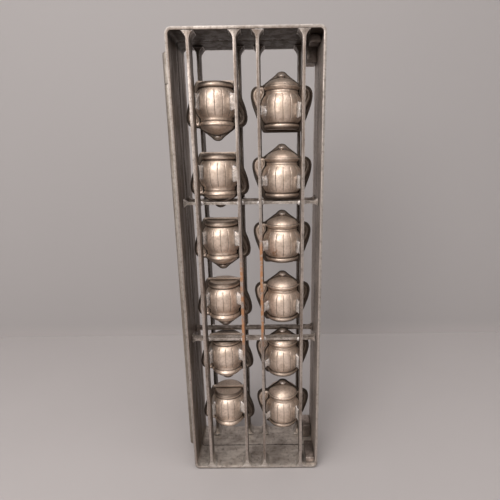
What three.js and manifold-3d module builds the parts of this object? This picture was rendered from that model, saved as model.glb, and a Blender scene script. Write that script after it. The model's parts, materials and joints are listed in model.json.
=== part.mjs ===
// Hinged chocolate mould, shut and standing on one short end.
// Two steel frames close face to face like a book. Each frame carries four long bars, two cross bars
// and two columns of half shells, and two half shells that meet make one small lidded sugar pot.
// Millimetres, +Z up. The front half lies on the -Y side and the hinge runs up the -X side.
import * as THREE from 'three';
import { mergeVertices } from 'three/addons/utils/BufferGeometryUtils.js';
import Module from 'manifold-3d';

const wasm = await Module();
wasm.setup();

// Sugar pot, stacked up from the underside of its foot
const FOOT_RADIUS = 17.2;
const FOOT_HEIGHT = 4;
const GROOVE_RADIUS = 16;
const GROOVE_HEIGHT = 1;
const BELLY_RADIUS = 20.3;
const BELLY_RISE = 14;
const SHOULDER_RISE = 16;
const COLLAR_RADIUS = 17;
const COLLAR_HEIGHT = 4;
const LID_RADIUS = 17;
const LID_RIM_HEIGHT = 1.6;
const LID_RISE = 7.2;
const LID_CROWN = 0.9;
const KNOB_RADIUS = 2.9;
const KNOB_NECK_RADIUS = 2.5;
const KNOB_HEIGHT = 3.2;

// Pressed sheet of a half shell, with its flat flange and its two ear handles
const SHELL_WALL = 1;
const FLANGE_THICKNESS = 1.2;
const FLANGE_MARGIN = 2.3;
const EAR_RADIUS = 6;
const EAR_STANDOFF = 2.5;
const EAR_DROP = 1.3;
const EAR_TAIL_LEAN = 23;
const EAR_FOOT_REACH = 0.4;
const EAR_FOOT_RISE = 1.7;
const EAR_DEPTH = 3.2;
const EAR_MARGIN = 1.2;

// Two columns of pots, head to tail
const POT_ROWS = 6;
const ROW_GAP = 10.6;
const COLUMN_GAP = 3.5;
const COLUMN_SHIFT = 3.6;

// Long bars and cross bars, flat strip
const BAR_THICKNESS = 3;
const BAR_DEPTH = 16;
const BAR_OVERLAP = 1.55;
const BAR_DRAW_IN = 1.5;
const FLARE_REACH = 3.7;
const FLARE_HEIGHT = 8;
const CROSS_THICKNESS = 3;
const CROSS_DEPTH = 8;
const CROSS_ROW = 2;
const CROSS_FOOT_CLEARANCE = 2;
const CROSS_LID_CLEARANCE = 1.13;
const CROSS_FLARE_HEIGHT = 3;
const CROSS_FLARE_REACH = 5;

// Solder that holds a shell between its two bars
const SOLDER_HEIGHT = 11;
const SOLDER_LAP = 2.5;
const SOLDER_SEAT = 0.3;
const SOLDER_INNER_ANGLE = 20;
const SOLDER_OUTER_ANGLE = 52;

// Frame of one half, bent from flat strip
const FRAME_WALL = 3;
const BEND_RADIUS = 3;
const SIDE_ROOM = 5.25;
const END_ROOM = 27.6;
const PARTING_GAP = 0.3;

// Lugs in the corners away from the hinge
const LUG_BAR_CLEARANCE = 1.3;
const LUG_BEND_CLEARANCE = 0.8;
const LUG_HEIGHT = 6.5;
const TOP_LUG_DEPTH = 17;
const BOTTOM_LUG_DEPTH = 28;
const BLOCK_HEIGHT = 17;
const BLOCK_INSET = 12;

// Barrel hinge
const PIN_RADIUS = 3;
const PIN_CLEARANCE = 0.3;
const PIN_HEAD_LIP = 1.2;
const PIN_HEAD_HEIGHT = 1.7;
const BARREL_WALL = 1.7;
const BARREL_STANDOFF = 1;
const HINGE_BOTTOM = 9.5;
const HINGE_TOP_MARGIN = 13.5;
const END_KNUCKLE_LENGTH = 27;
const KNUCKLE_GAP = 0.6;
const LEAF_THICKNESS = 2;
const LEAF_LAP = 5;
const LEAF_START = 0.5;

// Facets
const SHELL_SEGMENTS = 12;
const BELLY_STEPS = 2;
const BARREL_SEGMENTS = 16;
const CURVE_SEGMENTS = 2;

// Heights along a pot
const bellyBottom = FOOT_HEIGHT + GROOVE_HEIGHT;
const bellyPeak = bellyBottom + BELLY_RISE;
const bellyTop = bellyPeak + SHOULDER_RISE;
const lidBottom = bellyTop + COLLAR_HEIGHT;
const lidRim = lidBottom + LID_RIM_HEIGHT;
const lidTop = lidRim + LID_RISE;
const potHeight = lidTop + KNOB_HEIGHT;
const outlineHeight = potHeight + 2 * FLANGE_MARGIN;
const lidShoulder = [(LID_RADIUS + KNOB_NECK_RADIUS) / 2, lidRim + LID_RISE / 2 + LID_CROWN];
const earCentreX = BELLY_RADIUS + EAR_STANDOFF;
const earCentreZ = bellyTop - EAR_DROP;
const earFootX = BELLY_RADIUS + EAR_FOOT_REACH;
const earFootZ = bellyBottom + EAR_FOOT_RISE;

// Layout of the columns and the frame
const earReach = earCentreX + EAR_RADIUS + EAR_MARGIN;
const columnX = earReach + COLUMN_GAP / 2;
const rowPitch = outlineHeight + ROW_GAP;
const barOffset = BELLY_RADIUS - BAR_OVERLAP + BAR_THICKNESS / 2;
const barPairX = columnX - BAR_DRAW_IN;
const crossLidHeight = potHeight - 2 * COLUMN_SHIFT + CROSS_FOOT_CLEARANCE;
const crossInset = lidRadiusAt(crossLidHeight) + CROSS_LID_CLEARANCE;
const barInset = crossInset + CROSS_DEPTH;
const halfDepth = barInset + BAR_DEPTH;
const innerX = columnX + earReach + SIDE_ROOM;
const outerX = innerX + FRAME_WALL;
const rowsHeight = (POT_ROWS - 1) * rowPitch + outlineHeight + 2 * COLUMN_SHIFT;
const frameHeight = rowsHeight + 2 * (END_ROOM + FRAME_WALL);
const middleZ = frameHeight / 2;
const seam = PARTING_GAP / 2;
const barX = [-barPairX - barOffset, -barPairX + barOffset, barPairX - barOffset, barPairX + barOffset];
const lugLeft = barPairX + barOffset + BAR_THICKNESS / 2 + FLARE_REACH + LUG_BAR_CLEARANCE;

// The barrel stands out on one side, so the model is moved over to keep its box centred
const boreRadius = PIN_RADIUS + PIN_CLEARANCE;
const barrelRadius = boreRadius + BARREL_WALL;
const hingeX = -(outerX + BARREL_STANDOFF + barrelRadius);
const centringShift = -(hingeX - barrelRadius + outerX) / 2;

const steel = new THREE.MeshStandardMaterial({ color: 0x8b8379, roughness: 0.5, metalness: 0.9 });
const tinned = new THREE.MeshStandardMaterial({ color: 0xa39686, roughness: 0.35, metalness: 1 });
const hingeSteel = new THREE.MeshStandardMaterial({ color: 0x9a938a, roughness: 0.45, metalness: 0.95 });

// A closed geometry as a solid, with doubled points merged and triangles of no area left out
function solid(geometry) {
  const bare = new THREE.BufferGeometry();
  bare.setAttribute('position', geometry.getAttribute('position').clone());
  bare.setIndex(geometry.getIndex());
  const merged = mergeVertices(bare, 1e-4);
  const index = merged.getIndex().array;
  const kept = [];
  for (let i = 0; i < index.length; i += 3) {
    const [a, b, c] = index.slice(i, i + 3);
    if (a !== b && b !== c && c !== a) kept.push(a, b, c);
  }
  const vertProperties = new Float32Array(merged.getAttribute('position').array);
  return new wasm.Manifold(new wasm.Mesh({ numProp: 3, vertProperties, triVerts: new Uint32Array(kept) }));
}

function geometryOf(manifold) {
  const mesh = manifold.getMesh();
  const geometry = new THREE.BufferGeometry();
  geometry.setAttribute('position', new THREE.BufferAttribute(mesh.vertProperties, 3));
  geometry.setIndex(new THREE.BufferAttribute(mesh.triVerts, 1));
  geometry.computeVertexNormals();
  return geometry;
}

// A shape drawn in X and Z, as a slab between two depths
function slab(shape, nearY, farY) {
  const options = { depth: farY - nearY, bevelEnabled: false, curveSegments: CURVE_SEGMENTS };
  return new THREE.ExtrudeGeometry(shape, options).rotateX(Math.PI / 2).translate(0, farY, 0);
}

// The same slab given by its distances from the parting plane, on the front (-1) or rear (+1) side
function halfSlab(shape, side, inner, outer) {
  return side < 0 ? slab(shape, -outer, -inner) : slab(shape, inner, outer);
}

// A shape drawn in X and Y, standing between two heights
function column(shape, bottom, top) {
  const options = { depth: top - bottom, bevelEnabled: false, curveSegments: CURVE_SEGMENTS };
  return new THREE.ExtrudeGeometry(shape, options).translate(0, 0, bottom);
}

// A profile of [radius, height] points turned about Z
function turned(profile, segments) {
  const points = profile.map(([radius, height]) => new THREE.Vector2(radius, height));
  return new THREE.LatheGeometry(points, segments).rotateX(Math.PI / 2);
}

function polygon(points) {
  return new THREE.Shape(points.map(([x, y]) => new THREE.Vector2(x, y)));
}

function mirrored(points) {
  return points.map(([x, y]) => [-x, y]).reverse();
}

function mirroredShape(shape) {
  return polygon(mirrored(shape.getPoints(CURVE_SEGMENTS).map(({ x, y }) => [x, y])));
}

function roundedRectangle(path, halfWidth, bottom, top, radius) {
  path.moveTo(-halfWidth + radius, bottom);
  path.lineTo(halfWidth - radius, bottom);
  path.absarc(halfWidth - radius, bottom + radius, radius, -Math.PI / 2, 0);
  path.lineTo(halfWidth, top - radius);
  path.absarc(halfWidth - radius, top - radius, radius, 0, Math.PI / 2);
  path.lineTo(-halfWidth + radius, top);
  path.absarc(-halfWidth + radius, top - radius, radius, Math.PI / 2, Math.PI);
  path.lineTo(-halfWidth, bottom + radius);
  path.absarc(-halfWidth + radius, bottom + radius, radius, Math.PI, 1.5 * Math.PI);
  return path;
}

// Belly between its two grooves: a quarter wave up to the widest ring and one back in
function bellyCurve(inset) {
  const points = [];
  for (let i = -BELLY_STEPS; i <= BELLY_STEPS; i += 1) {
    const share = i / BELLY_STEPS;
    const swell = Math.cos((share * Math.PI) / 2);
    const rise = share < 0 ? BELLY_RISE : SHOULDER_RISE;
    const radius = GROOVE_RADIUS + (BELLY_RADIUS - GROOVE_RADIUS) * swell;
    points.push([radius - inset, bellyPeak + share * rise]);
  }
  return points;
}

// Outer radius of the lid at a height of the pot, or of the knob above it
function lidRadiusAt(height) {
  const [shoulderRadius, shoulderHeight] = lidShoulder;
  if (height >= lidTop) return KNOB_RADIUS;
  if (height <= lidRim) return COLLAR_RADIUS;
  if (height >= shoulderHeight) {
    const share = (lidTop - height) / (lidTop - shoulderHeight);
    return KNOB_NECK_RADIUS + (shoulderRadius - KNOB_NECK_RADIUS) * share;
  }
  const share = (shoulderHeight - height) / (shoulderHeight - lidRim);
  return shoulderRadius + (LID_RADIUS - shoulderRadius) * share;
}

function potBody() {
  return turned([
    [0, 0],
    [FOOT_RADIUS, 0],
    [FOOT_RADIUS, FOOT_HEIGHT],
    ...bellyCurve(0),
    [COLLAR_RADIUS, bellyTop + COLLAR_HEIGHT / 2],
    [GROOVE_RADIUS, lidBottom],
    [LID_RADIUS, lidRim],
    lidShoulder,
    [KNOB_NECK_RADIUS, lidTop],
    [KNOB_RADIUS, lidTop + KNOB_HEIGHT / 2],
    [0, potHeight],
  ], SHELL_SEGMENTS);
}

function potCavity() {
  return turned([
    [0, SHELL_WALL],
    [GROOVE_RADIUS - SHELL_WALL, SHELL_WALL],
    ...bellyCurve(SHELL_WALL),
    [GROOVE_RADIUS - SHELL_WALL, lidRim],
    [KNOB_NECK_RADIUS, lidTop - SHELL_WALL],
    [0, lidTop - SHELL_WALL],
  ], SHELL_SEGMENTS);
}

// Ear handle at the +X side: a leaning tail that curves up into a round top, rooted inside the belly
function earShape(margin) {
  const radius = EAR_RADIUS + margin;
  const rootX = GROOVE_RADIUS - SHELL_WALL;
  const footX = earFootX + margin;
  const footZ = earFootZ - margin;
  const edgeX = earCentreX + radius;
  const tailRise = (edgeX - footX) / Math.tan(THREE.MathUtils.degToRad(EAR_TAIL_LEAN));
  const shape = new THREE.Shape();
  shape.moveTo(rootX, footZ);
  shape.lineTo(footX, footZ);
  shape.quadraticCurveTo(edgeX, footZ + tailRise, edgeX, earCentreZ);
  shape.absarc(earCentreX, earCentreZ, radius, 0, Math.PI / 2);
  shape.lineTo(rootX, earCentreZ + radius);
  shape.closePath();
  return shape;
}

// Flat flange that follows the side view of the pot and runs out into the tails of the ears
function flangeShape() {
  const halfOutline = [
    [FOOT_RADIUS + FLANGE_MARGIN, -FLANGE_MARGIN],
    [earFootX + EAR_MARGIN, earFootZ - EAR_MARGIN],
    [BELLY_RADIUS + FLANGE_MARGIN, bellyPeak],
    [LID_RADIUS + FLANGE_MARGIN, lidRim],
    [KNOB_RADIUS + FLANGE_MARGIN, potHeight],
    [KNOB_RADIUS, potHeight + FLANGE_MARGIN],
  ];
  return polygon([...halfOutline, ...mirrored(halfOutline)]);
}

// Solder web between the belly and the inner corner of a bar whose near face is at +X
function solderShape(barFace) {
  const root = BELLY_RADIUS - SHELL_WALL / 2;
  const onBelly = (degrees) => {
    const angle = THREE.MathUtils.degToRad(degrees);
    return [root * Math.cos(angle), -root * Math.sin(angle)];
  };
  return polygon([
    onBelly(SOLDER_INNER_ANGLE),
    onBelly(SOLDER_OUTER_ANGLE),
    [barFace - SOLDER_SEAT, -barInset - SOLDER_LAP],
    [barFace - SOLDER_SEAT, -barInset + SOLDER_SEAT],
    [barFace + SOLDER_LAP, -barInset + SOLDER_SEAT],
  ]);
}

// Half of a pot on the -Y side of the parting plane, standing on Z = 0.
// The bar towards the side plate, at +X for 1 and at -X for -1, stands nearer to the pot than the other.
function halfShell(plateSide) {
  const reach = 2 * (earReach + outlineHeight);
  const frontSpace = new THREE.BoxGeometry(reach, reach, reach).translate(0, -reach / 2 - seam, 0);
  const flangeBack = -seam - FLANGE_THICKNESS;
  const solderBottom = bellyPeak - SOLDER_HEIGHT / 2;
  const flange = solid(slab(flangeShape(), flangeBack, -seam));
  let body = solid(potBody()).intersect(solid(frontSpace)).add(flange);
  for (const [side, onItsSide] of [[1, (shape) => shape], [-1, mirroredShape]]) {
    const barFace = BELLY_RADIUS - BAR_OVERLAP - side * plateSide * BAR_DRAW_IN;
    body = body
      .add(solid(slab(onItsSide(earShape(0)), -EAR_DEPTH, -seam)))
      .add(solid(slab(onItsSide(earShape(EAR_MARGIN)), flangeBack, -seam)))
      .add(solid(column(onItsSide(solderShape(barFace)), solderBottom, solderBottom + SOLDER_HEIGHT)));
  }
  return geometryOf(body.subtract(solid(potCavity())));
}

function frameShape() {
  const shape = roundedRectangle(new THREE.Shape(), outerX, 0, frameHeight, BEND_RADIUS + FRAME_WALL);
  const innerTop = frameHeight - FRAME_WALL;
  shape.holes.push(roundedRectangle(new THREE.Path(), innerX, FRAME_WALL, innerTop, BEND_RADIUS));
  return shape;
}

// Flat strip of a given length along Z from 0, spreading into a brazed foot at both ends
function flaredStrip(length, thickness, flareReach, flareHeight) {
  const half = thickness / 2;
  const foot = half + flareReach;
  const shape = new THREE.Shape();
  shape.moveTo(-foot, 0);
  shape.lineTo(foot, 0);
  shape.quadraticCurveTo(half, 0, half, flareHeight);
  shape.lineTo(half, length - flareHeight);
  shape.quadraticCurveTo(half, length, foot, length);
  shape.lineTo(-foot, length);
  shape.quadraticCurveTo(-half, length, -half, length - flareHeight);
  shape.lineTo(-half, flareHeight);
  shape.quadraticCurveTo(-half, 0, -foot, 0);
  return shape;
}

// Lug against the side plate and the bottom plate, with its outer corner cut off
function lugShape(height) {
  const cut = BEND_RADIUS + LUG_BEND_CLEARANCE;
  return polygon([
    [lugLeft, FRAME_WALL],
    [innerX - cut, FRAME_WALL],
    [innerX, FRAME_WALL + cut],
    [innerX, FRAME_WALL + height],
    [lugLeft, FRAME_WALL + height],
  ]);
}

// The same lug against the top plate
function topLugShape(height) {
  const points = lugShape(height).getPoints().map(({ x, y }) => [x, frameHeight - y]);
  return polygon(points.reverse());
}

// Tube of the hinge with the leaf that is brazed to one half's side plate
function knuckle(side, bottom, top) {
  const length = top - bottom;
  const leafX = -outerX - LEAF_THICKNESS;
  const leafBend = barrelRadius + LEAF_THICKNESS;
  const leaf = polygon([
    [hingeX, side * LEAF_START],
    [-outerX, side * LEAF_START],
    [-outerX, side * (leafBend + LEAF_LAP)],
    [leafX, side * (leafBend + LEAF_LAP)],
    [leafX, side * leafBend],
    [hingeX, side * barrelRadius],
  ]);
  const barrel = new THREE.CylinderGeometry(barrelRadius, barrelRadius, length, BARREL_SEGMENTS);
  const bore = new THREE.CylinderGeometry(boreRadius, boreRadius, 2 * length, BARREL_SEGMENTS);
  const place = (cylinder) => cylinder.rotateX(Math.PI / 2).translate(hingeX, 0, bottom + length / 2);
  const body = solid(place(barrel)).add(solid(column(leaf, bottom, top)));
  return geometryOf(body.subtract(solid(place(bore))));
}

function hingePin(bottom, top) {
  const headBottom = bottom - PIN_HEAD_HEIGHT - PIN_CLEARANCE;
  const headTop = top + PIN_HEAD_HEIGHT + PIN_CLEARANCE;
  const headRadius = PIN_RADIUS + PIN_HEAD_LIP;
  return turned([
    [0, headBottom],
    [PIN_RADIUS, headBottom],
    [headRadius, headBottom + PIN_HEAD_HEIGHT / 2],
    [headRadius, bottom - PIN_CLEARANCE],
    [PIN_RADIUS, bottom - PIN_CLEARANCE],
    [PIN_RADIUS, top + PIN_CLEARANCE],
    [headRadius, top + PIN_CLEARANCE],
    [headRadius, headTop - PIN_HEAD_HEIGHT / 2],
    [PIN_RADIUS, headTop],
    [0, headTop],
  ], BARREL_SEGMENTS).translate(hingeX, 0, 0);
}

const mould = new THREE.Group();
mould.position.x = centringShift;
const halves = { front: new THREE.Group(), rear: new THREE.Group() };
mould.add(halves.front, halves.rear);

function addPiece(half, name, geometry, material) {
  const mesh = new THREE.Mesh(geometry, material);
  mesh.name = name;
  halves[half].add(mesh);
  return mesh;
}

// Middle of a pot in the left (-1) or right (+1) column, rows counted from the top
function potCentreZ(direction, row) {
  return middleZ + direction * COLUMN_SHIFT + ((POT_ROWS + 1) / 2 - row) * rowPitch;
}

// Frames, long bars and cross bars of the two halves
const barLength = frameHeight - 2 * FRAME_WALL;
const crossUnder = potCentreZ(1, CROSS_ROW) - potHeight / 2 - CROSS_FOOT_CLEARANCE;
const crossUpper = crossUnder - CROSS_THICKNESS / 2;
const crossZ = { lower: frameHeight - crossUpper, upper: crossUpper };
for (const [half, side] of [['front', -1], ['rear', 1]]) {
  addPiece(half, `${half}_frame`, halfSlab(frameShape(), side, seam, halfDepth), steel);
  const bar = halfSlab(
    flaredStrip(barLength, BAR_THICKNESS, FLARE_REACH, FLARE_HEIGHT), side, barInset, halfDepth);
  barX.forEach((x, i) => {
    addPiece(half, `${half}_long_bar_${i + 1}`, bar, steel).position.set(x, 0, FRAME_WALL);
  });
  const cross = halfSlab(
    flaredStrip(2 * innerX, CROSS_THICKNESS, CROSS_FLARE_HEIGHT, CROSS_FLARE_REACH),
    side, crossInset, barInset).rotateY(Math.PI / 2).translate(-innerX, 0, 0);
  for (const [level, z] of Object.entries(crossZ)) {
    addPiece(half, `${half}_cross_bar_${level}`, cross, steel).position.set(0, 0, z);
  }
}

// Half shells: the left column hangs with its lids down, the right column stands with its lids up
for (const [half, plateSide] of [['front', 1], ['rear', -1]]) {
  const shell = halfShell(plateSide);
  for (const [columnName, direction] of [['left', -1], ['right', 1]]) {
    for (let row = 1; row <= POT_ROWS; row += 1) {
      const mesh = addPiece(half, `${half}_shell_${columnName}_${row}`, shell, tinned);
      const footZ = potCentreZ(direction, row) - (direction * potHeight) / 2;
      mesh.position.set(direction * columnX, 0, footZ);
      if (half === 'rear') mesh.rotation.z = Math.PI;
      if (direction < 0) mesh.rotateY(Math.PI);
    }
  }
}

// Corner lugs
const frontLugs = { top: TOP_LUG_DEPTH, bottom: BOTTOM_LUG_DEPTH };
for (const [end, drawn] of [['top', topLugShape], ['bottom', lugShape]]) {
  const lug = halfSlab(drawn(LUG_HEIGHT), -1, seam, frontLugs[end]);
  addPiece('front', `front_corner_lug_${end}`, lug, steel);
  const block = halfSlab(drawn(BLOCK_HEIGHT), 1, BLOCK_INSET, halfDepth);
  addPiece('rear', `rear_corner_block_${end}`, block, steel);
}

// Hinge: the rear half holds the long knuckle and the pin, the front half the two short ones
const hingeTop = frameHeight - HINGE_TOP_MARGIN;
const lowerJoint = HINGE_BOTTOM + END_KNUCKLE_LENGTH;
const upperJoint = hingeTop - END_KNUCKLE_LENGTH;
const middleKnuckle = knuckle(1, lowerJoint + KNUCKLE_GAP, upperJoint - KNUCKLE_GAP);
addPiece('front', 'hinge_knuckle_top', knuckle(-1, upperJoint, hingeTop), hingeSteel);
addPiece('rear', 'hinge_knuckle_middle', middleKnuckle, hingeSteel);
addPiece('front', 'hinge_knuckle_bottom', knuckle(-1, HINGE_BOTTOM, lowerJoint), hingeSteel);
addPiece('rear', 'hinge_pin', hingePin(HINGE_BOTTOM, hingeTop), hingeSteel);

export default mould;
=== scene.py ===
# %% [markdown]
# # Hinged chocolate mould
# This lesson dresses an old confectioner's mould. Two steel frames close face to face like a book, and
# each one holds two columns of pressed half shells. Two half shells that meet cast one small hollow
# sugar pot with a lid and two ears. The CAD solids are the fixed frame: every piece made here takes its
# place from them, so the first cell loads them and keeps the size of their box.

import json
import math

import bmesh
import bpy
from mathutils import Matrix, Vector

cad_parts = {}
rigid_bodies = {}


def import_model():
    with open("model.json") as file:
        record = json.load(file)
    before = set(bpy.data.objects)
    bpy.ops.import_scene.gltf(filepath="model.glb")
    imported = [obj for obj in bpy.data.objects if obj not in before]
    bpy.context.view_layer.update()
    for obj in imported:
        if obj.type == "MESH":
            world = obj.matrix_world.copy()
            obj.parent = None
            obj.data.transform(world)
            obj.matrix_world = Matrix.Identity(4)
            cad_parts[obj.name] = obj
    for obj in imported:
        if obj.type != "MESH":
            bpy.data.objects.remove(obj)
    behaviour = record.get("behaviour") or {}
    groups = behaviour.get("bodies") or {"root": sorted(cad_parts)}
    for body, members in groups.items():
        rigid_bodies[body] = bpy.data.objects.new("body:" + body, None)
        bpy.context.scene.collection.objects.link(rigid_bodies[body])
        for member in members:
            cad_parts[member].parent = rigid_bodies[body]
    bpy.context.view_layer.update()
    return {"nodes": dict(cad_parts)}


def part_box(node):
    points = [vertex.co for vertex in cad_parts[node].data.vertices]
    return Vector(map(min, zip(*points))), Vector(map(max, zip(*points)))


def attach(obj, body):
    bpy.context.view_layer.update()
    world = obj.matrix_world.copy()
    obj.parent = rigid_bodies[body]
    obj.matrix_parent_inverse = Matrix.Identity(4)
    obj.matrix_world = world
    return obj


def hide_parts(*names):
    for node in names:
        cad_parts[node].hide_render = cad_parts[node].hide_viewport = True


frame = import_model()
MM, TINY = 0.001, 1e-6
FRONT = Vector((0, -1, 0))
scene = bpy.context.scene
scene.view_settings.view_transform = "Standard"

# %% [markdown]
# ## Camera
# The photograph was taken by hand from close by, a little above the middle of the mould and looking
# down on it. The lens, place and turn below come from fitting the frame's corners and the ends of the
# bars, so no piece has to be bent to suit the picture. The shift is small: it only says that the
# picture was cropped a little to one side.

# %% Camera
IMAGE_PIXELS = 500
LENS_PIXELS = 372.98
CROP_PIXELS = 17.49
SENSOR = 36
CAMERA_PLACE, CAMERA_TURN = (0.02432, -0.38709, 0.34491), (76.089, 0.740, 0.221)
camera_data = bpy.data.cameras.new("photo_camera")
camera_data.sensor_width = SENSOR
camera_data.lens = SENSOR * LENS_PIXELS / IMAGE_PIXELS
camera_data.shift_x = -CROP_PIXELS / IMAGE_PIXELS
camera_data.clip_start = 0.01
camera = bpy.data.objects.new("photo_camera", camera_data)
scene.collection.objects.link(camera)
camera.location = CAMERA_PLACE
camera.rotation_euler = [math.radians(turn) for turn in CAMERA_TURN]
scene.camera = camera
print("lens", round(camera_data.lens, 2), "mm, shift", round(camera_data.shift_x, 4))

# %% [markdown]
# ## Bench tools
# An operator acts on all that is selected, and the loaded solids start out selected. So each piece
# begins with a clean bench. Points, edges and faces are then picked by their place, as a hand would
# pick them with a box. Strokes that many pieces share, such as rounding the edges, are defined once. A
# line is drawn by pulling one point out of the last one.

# %% Clean bench and picking
def fresh_start():
    if bpy.context.object is not None and bpy.context.object.mode != "OBJECT":
        bpy.ops.object.mode_set(mode="OBJECT")
    bpy.ops.object.select_all(action="DESELECT")


def take(*pieces):
    fresh_start()
    for piece in pieces:
        piece.select_set(True)
    bpy.context.view_layer.objects.active = pieces[0]


def pick_all():
    bpy.ops.mesh.select_all(action="SELECT")


def pull(step):
    bpy.ops.mesh.extrude_region_move(TRANSFORM_OT_translate={"value": step})


def faces(piece):
    return len(piece.data.polygons)


def edit(piece):
    take(piece)
    bpy.ops.object.mode_set(mode="EDIT")
    bpy.ops.mesh.select_mode(type="VERT")
    pick_all()


def pick(test, kind="VERT"):
    bpy.ops.mesh.select_mode(type=kind)
    bpy.ops.mesh.select_all(action="DESELECT")
    cage = bmesh.from_edit_mesh(bpy.context.object.data)
    for part in {"VERT": cage.verts, "EDGE": cage.edges, "FACE": cage.faces}[kind]:
        corners = [part] if kind == "VERT" else list(part.verts)
        if test(sum((corner.co for corner in corners), Vector()) / len(corners), part):
            part.select_set(True)
    cage.select_flush_mode()
    bmesh.update_edit_mesh(bpy.context.object.data)


def finish_with(piece, kind, **values):
    take(piece)
    bpy.ops.object.modifier_add(type=kind)
    modifier = piece.modifiers[-1]
    for name, value in values.items():
        setattr(modifier, name, value)
    bpy.ops.object.modifier_apply(modifier=modifier.name)


print("picking ready on", len(frame["nodes"]), "loaded solids")

# %% Shared finishing strokes
SHARP_ANGLE, SMOOTH_ANGLE = math.radians(50), math.radians(40)


def round_edges(piece, width, segments=2):
    finish_with(piece, "BEVEL", width=width * MM, segments=segments, limit_method="ANGLE",
                angle_limit=SHARP_ANGLE)


def smooth(angle=SMOOTH_ANGLE):
    bpy.ops.object.shade_smooth_by_angle(angle=angle)


def fix_place():
    bpy.ops.object.transform_apply(location=True, rotation=True, scale=True)


def keep_marks(piece, name, marks):
    """Store one number a point, for a finish to read."""
    piece.data.attributes.new(name, "FLOAT", "POINT").data.foreach_set("value", marks)


def block(name, middle, size):
    fresh_start()
    bpy.ops.mesh.primitive_cube_add(size=1, location=middle)
    piece = bpy.context.object
    piece.name = name
    piece.scale = size
    fix_place()
    return piece


print("edges are rounded past", round(math.degrees(SHARP_ANGLE)), "degrees")

# %% Drawing a line and turning faces
FINE_STEPS = 16


def draw_line(name, points, closed=False):
    fresh_start()
    bpy.ops.mesh.primitive_plane_add(size=MM)
    piece = bpy.context.object
    piece.name = name
    edit(piece)
    bpy.ops.mesh.merge(type="CENTER")
    bpy.ops.transform.translate(value=points[0])
    for last, point in zip(points, points[1:]):
        pull(Vector(point) - Vector(last))
    if closed:
        ends = [Vector(points[0]), Vector(points[-1])]
        pick(lambda place, part: min((place - end).length for end in ends) < TINY)
        bpy.ops.mesh.edge_face_add()
    pick_all()
    return piece


def face_towards(direction):
    cage = bmesh.from_edit_mesh(bpy.context.object.data)
    cage.normal_update()
    lean = sum(face.normal.dot(direction) * face.calc_area() for face in cage.faces)
    if lean < 0:
        pick_all()
        bpy.ops.mesh.flip_normals()


def point_outwards():
    pick_all()
    bpy.ops.mesh.normals_make_consistent(inside=False)


def spin_line(steps, angle, centre_x=0.0):
    bpy.ops.mesh.spin(steps=steps, angle=angle, center=(centre_x, 0, 0), axis=(0, 0, 1))
    pick_all()
    bpy.ops.mesh.remove_doubles(threshold=TINY)
    point_outwards()


def smooth_line(knots, count):
    """Points at even steps on a soft curve through the knots, ends included."""
    knots = [Vector(knot) for knot in knots]
    line = [2 * knots[0] - knots[1], *knots, 2 * knots[-1] - knots[-2]]
    dense = []
    for a, b, c, d in zip(line, line[1:], line[2:], line[3:]):
        for step in range(FINE_STEPS):
            share = step / FINE_STEPS
            tangent = (c - a) * share
            bend = (2 * a - 5 * b + 4 * c - d) * share ** 2
            twist = (3 * b - a - 3 * c + d) * share ** 3
            dense.append(b + (tangent + bend + twist) / 2)
    dense.append(knots[-1])
    lengths = [0.0]
    for a, b in zip(dense, dense[1:]):
        lengths.append(lengths[-1] + (b - a).length)
    points, at = [], 0
    for step in range(count):
        goal = lengths[-1] * step / (count - 1)
        while at < len(dense) - 2 and lengths[at + 1] < goal:
            at += 1
        span = max(lengths[at + 1] - lengths[at], 1e-12)
        points.append(dense[at].lerp(dense[at + 1], min((goal - lengths[at]) / span, 1)))
    return points


print("lines are drawn with", FINE_STEPS, "fine steps between knots")

# %% [markdown]
# ## Side view of a sugar pot
# The pot is round: a low foot bead, a groove, a full belly, a thin collar under the rim of the lid, a
# lid like a low dome, and a small knob. Each half shell is half of a turned form, so its side view is
# drawn once as a line of radius and height, in millimetres, and spun through half a turn. The heights
# were read off the picture on the right column, which the camera sees straight on.

# %% Side view
foot_line = [(0, 0.25), (7, 0.2), (14.2, 0.0), (15.6, 0.3), (16.5, 1.0), (17.05, 2.0), (17.3, 3.1), (17.25, 3.9),
             (16.95, 4.5), (16.4, 4.95), (15.9, 5.25)]
belly_knots = [(15.75, 5.6), (16.3, 6.2), (17.54, 7.8), (18.77, 9.8), (19.67, 12.0), (20.22, 14.4), (20.4, 16.8),
               (20.43, 19.0), (20.4, 21.2), (20.22, 23.7), (19.67, 26.0), (18.8, 28.2), (17.6, 30.2), (16.75, 31.3),
               (16.2, 32.0), (15.95, 32.6), (15.95, 33.2), (16.15, 33.8), (16.15, 34.4), (15.85, 34.9), (15.65, 35.3)]
rim_line = [(15.9, 35.6), (16.2, 36.1), (16.65, 36.7), (17.05, 37.3), (17.35, 37.9), (17.55, 38.4), (17.45, 38.9),
            (17.1, 39.25), (16.6, 39.55)]
dome_line = [(16.3, 39.9), (16.0, 40.5), (15.5, 41.2), (14.8, 42.0), (13.8, 42.9), (12.5, 43.8), (10.9, 44.7),
             (9.1, 45.5), (7.2, 46.2), (5.4, 46.8), (4.0, 47.25), (2.8, 47.65)]
knob_line = [(2.65, 48.1), (3.1, 48.45), (3.45, 48.95), (3.5, 49.5), (3.2, 50.1), (2.6, 50.55), (1.8, 50.85),
             (0.9, 50.97), (0, 51.0)]
BELLY_POINTS = 48
belly_line = [tuple(knot) for knot in smooth_line(belly_knots, BELLY_POINTS)]
side_view = [*foot_line, *belly_line, *rim_line, *dome_line, *knob_line]


def belly_radius(height):
    for (radius, start), (next_radius, end) in zip(belly_line, belly_line[1:]):
        if start <= height <= end:
            return radius + (next_radius - radius) * (height - start) / (end - start)
    return belly_line[0][0] if height < belly_line[0][1] else belly_line[-1][0]


print("side view:", len(side_view), "points")

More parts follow.
